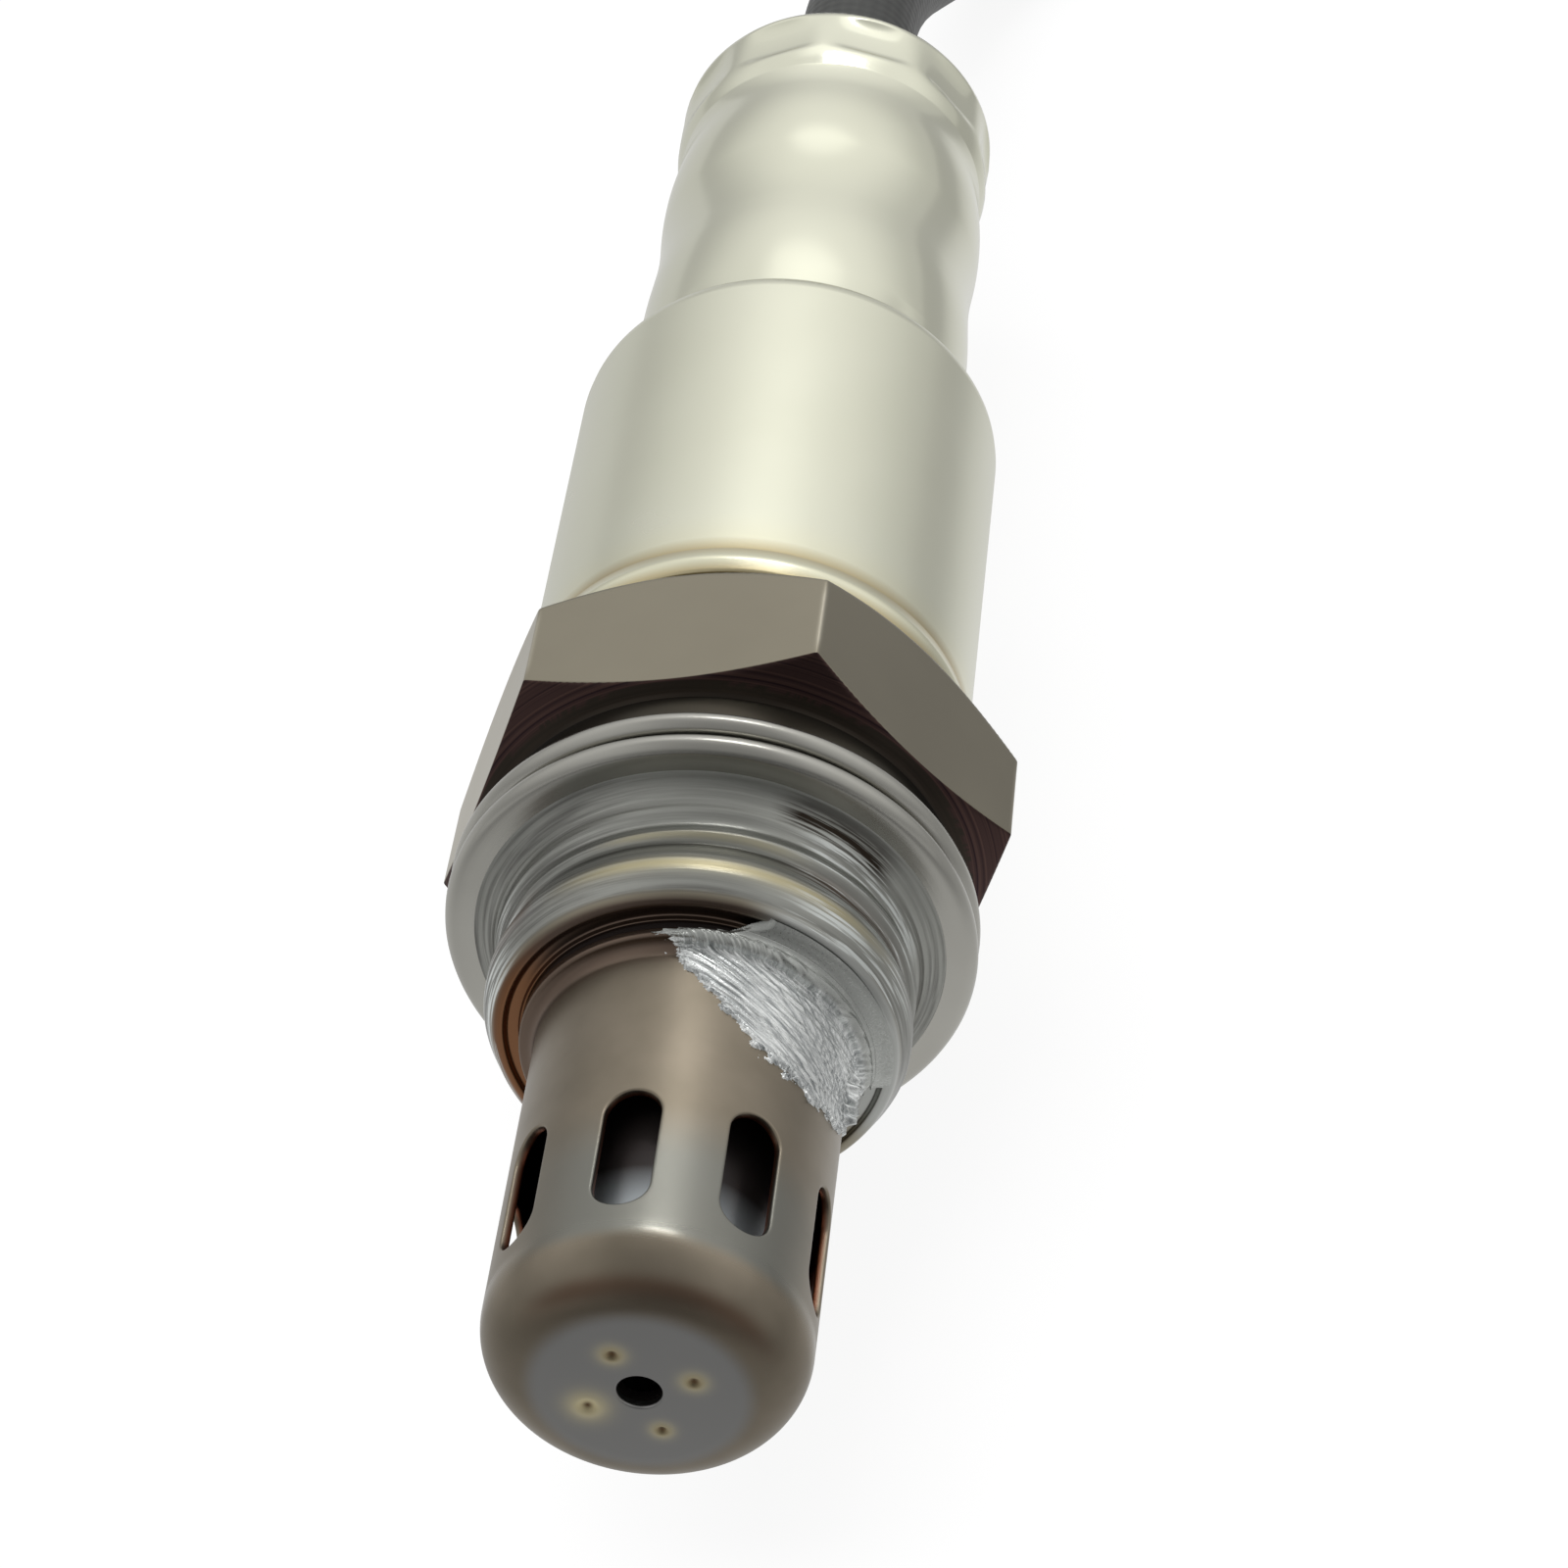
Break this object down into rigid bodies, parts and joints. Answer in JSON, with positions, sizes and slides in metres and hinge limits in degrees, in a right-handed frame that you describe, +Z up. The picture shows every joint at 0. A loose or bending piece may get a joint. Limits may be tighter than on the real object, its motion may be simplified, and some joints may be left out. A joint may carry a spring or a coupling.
{
  "type": "oxygen sensor",
  "caption": "Planar exhaust gas oxygen sensor: slotted steel protector, M18 thread with folded gasket, hexagon, stepped crimped tube and sleeved lead with a sealed connector.",
  "frame": {"origin": "on the sensor's axis, in the plane under the hexagon's collar where the gasket seats", "axes": "-Y along the axis towards the slotted tip, +Y towards the lead, +Z up as the sensor lies on its side"},
  "size_m": [0.0343, 0.24, 0.0234],
  "materials": {
    "shell_steel": "satin, heat-tinted",
    "gasket_steel": "satin",
    "protector_steel": "satin, heat-tinted brown",
    "tube_steel": "satin",
    "bright_steel": "satin",
    "white_ceramic": "unglazed",
    "talc": "pressed powder",
    "contact_metal": "bright",
    "black_rubber": "matte",
    "lead_black": "satin",
    "wire_black": "satin",
    "wire_grey": "satin",
    "wire_white": "satin",
    "tie_plastic": "matte",
    "plug_plastic": "matte",
    "cover_plastic": "matte",
    "seal_rubber": "matte",
    "lock_plastic": "matte"
  },
  "bodies": {
    "root": {"shell": "shell_steel", "gasket": "gasket_steel", "outer_protector": "protector_steel", "inner_protector": "protector_steel", "sensing_element": "white_ceramic", "metal_cup": "bright_steel", "ceramic_holder": "white_ceramic", "front_talc": "talc", "rear_talc": "talc", "ceramic_sleeve": "white_ceramic", "packing_ring": "bright_steel", "outer_tube": "tube_steel", "separator": "white_ceramic", "holding_ring": "bright_steel", "grommet": "black_rubber", "lead_sleeve": "lead_black", "lead_hank": "lead_black", "lead_tail": "lead_black", "hank_tie": "tie_plastic", "connector_housing": "plug_plastic", "seal_cover": "cover_plastic", "wire_seal": "seal_rubber", "pin_lock": "lock_plastic", "contact_upper_left": "contact_metal", "lead_wire_upper_left": "wire_black", "connector_pin_upper_left": "contact_metal", "plug_wire_upper_left": "wire_black", "contact_upper_right": "contact_metal", "lead_wire_upper_right": "wire_grey", "connector_pin_upper_right": "contact_metal", "plug_wire_upper_right": "wire_grey", "contact_lower_left": "contact_metal", "lead_wire_lower_left": "wire_white", "connector_pin_lower_left": "contact_metal", "plug_wire_lower_left": "wire_white", "contact_lower_right": "contact_metal", "lead_wire_lower_right": "wire_white", "connector_pin_lower_right": "contact_metal", "plug_wire_lower_right": "wire_white"}
  },
  "joints": []
}
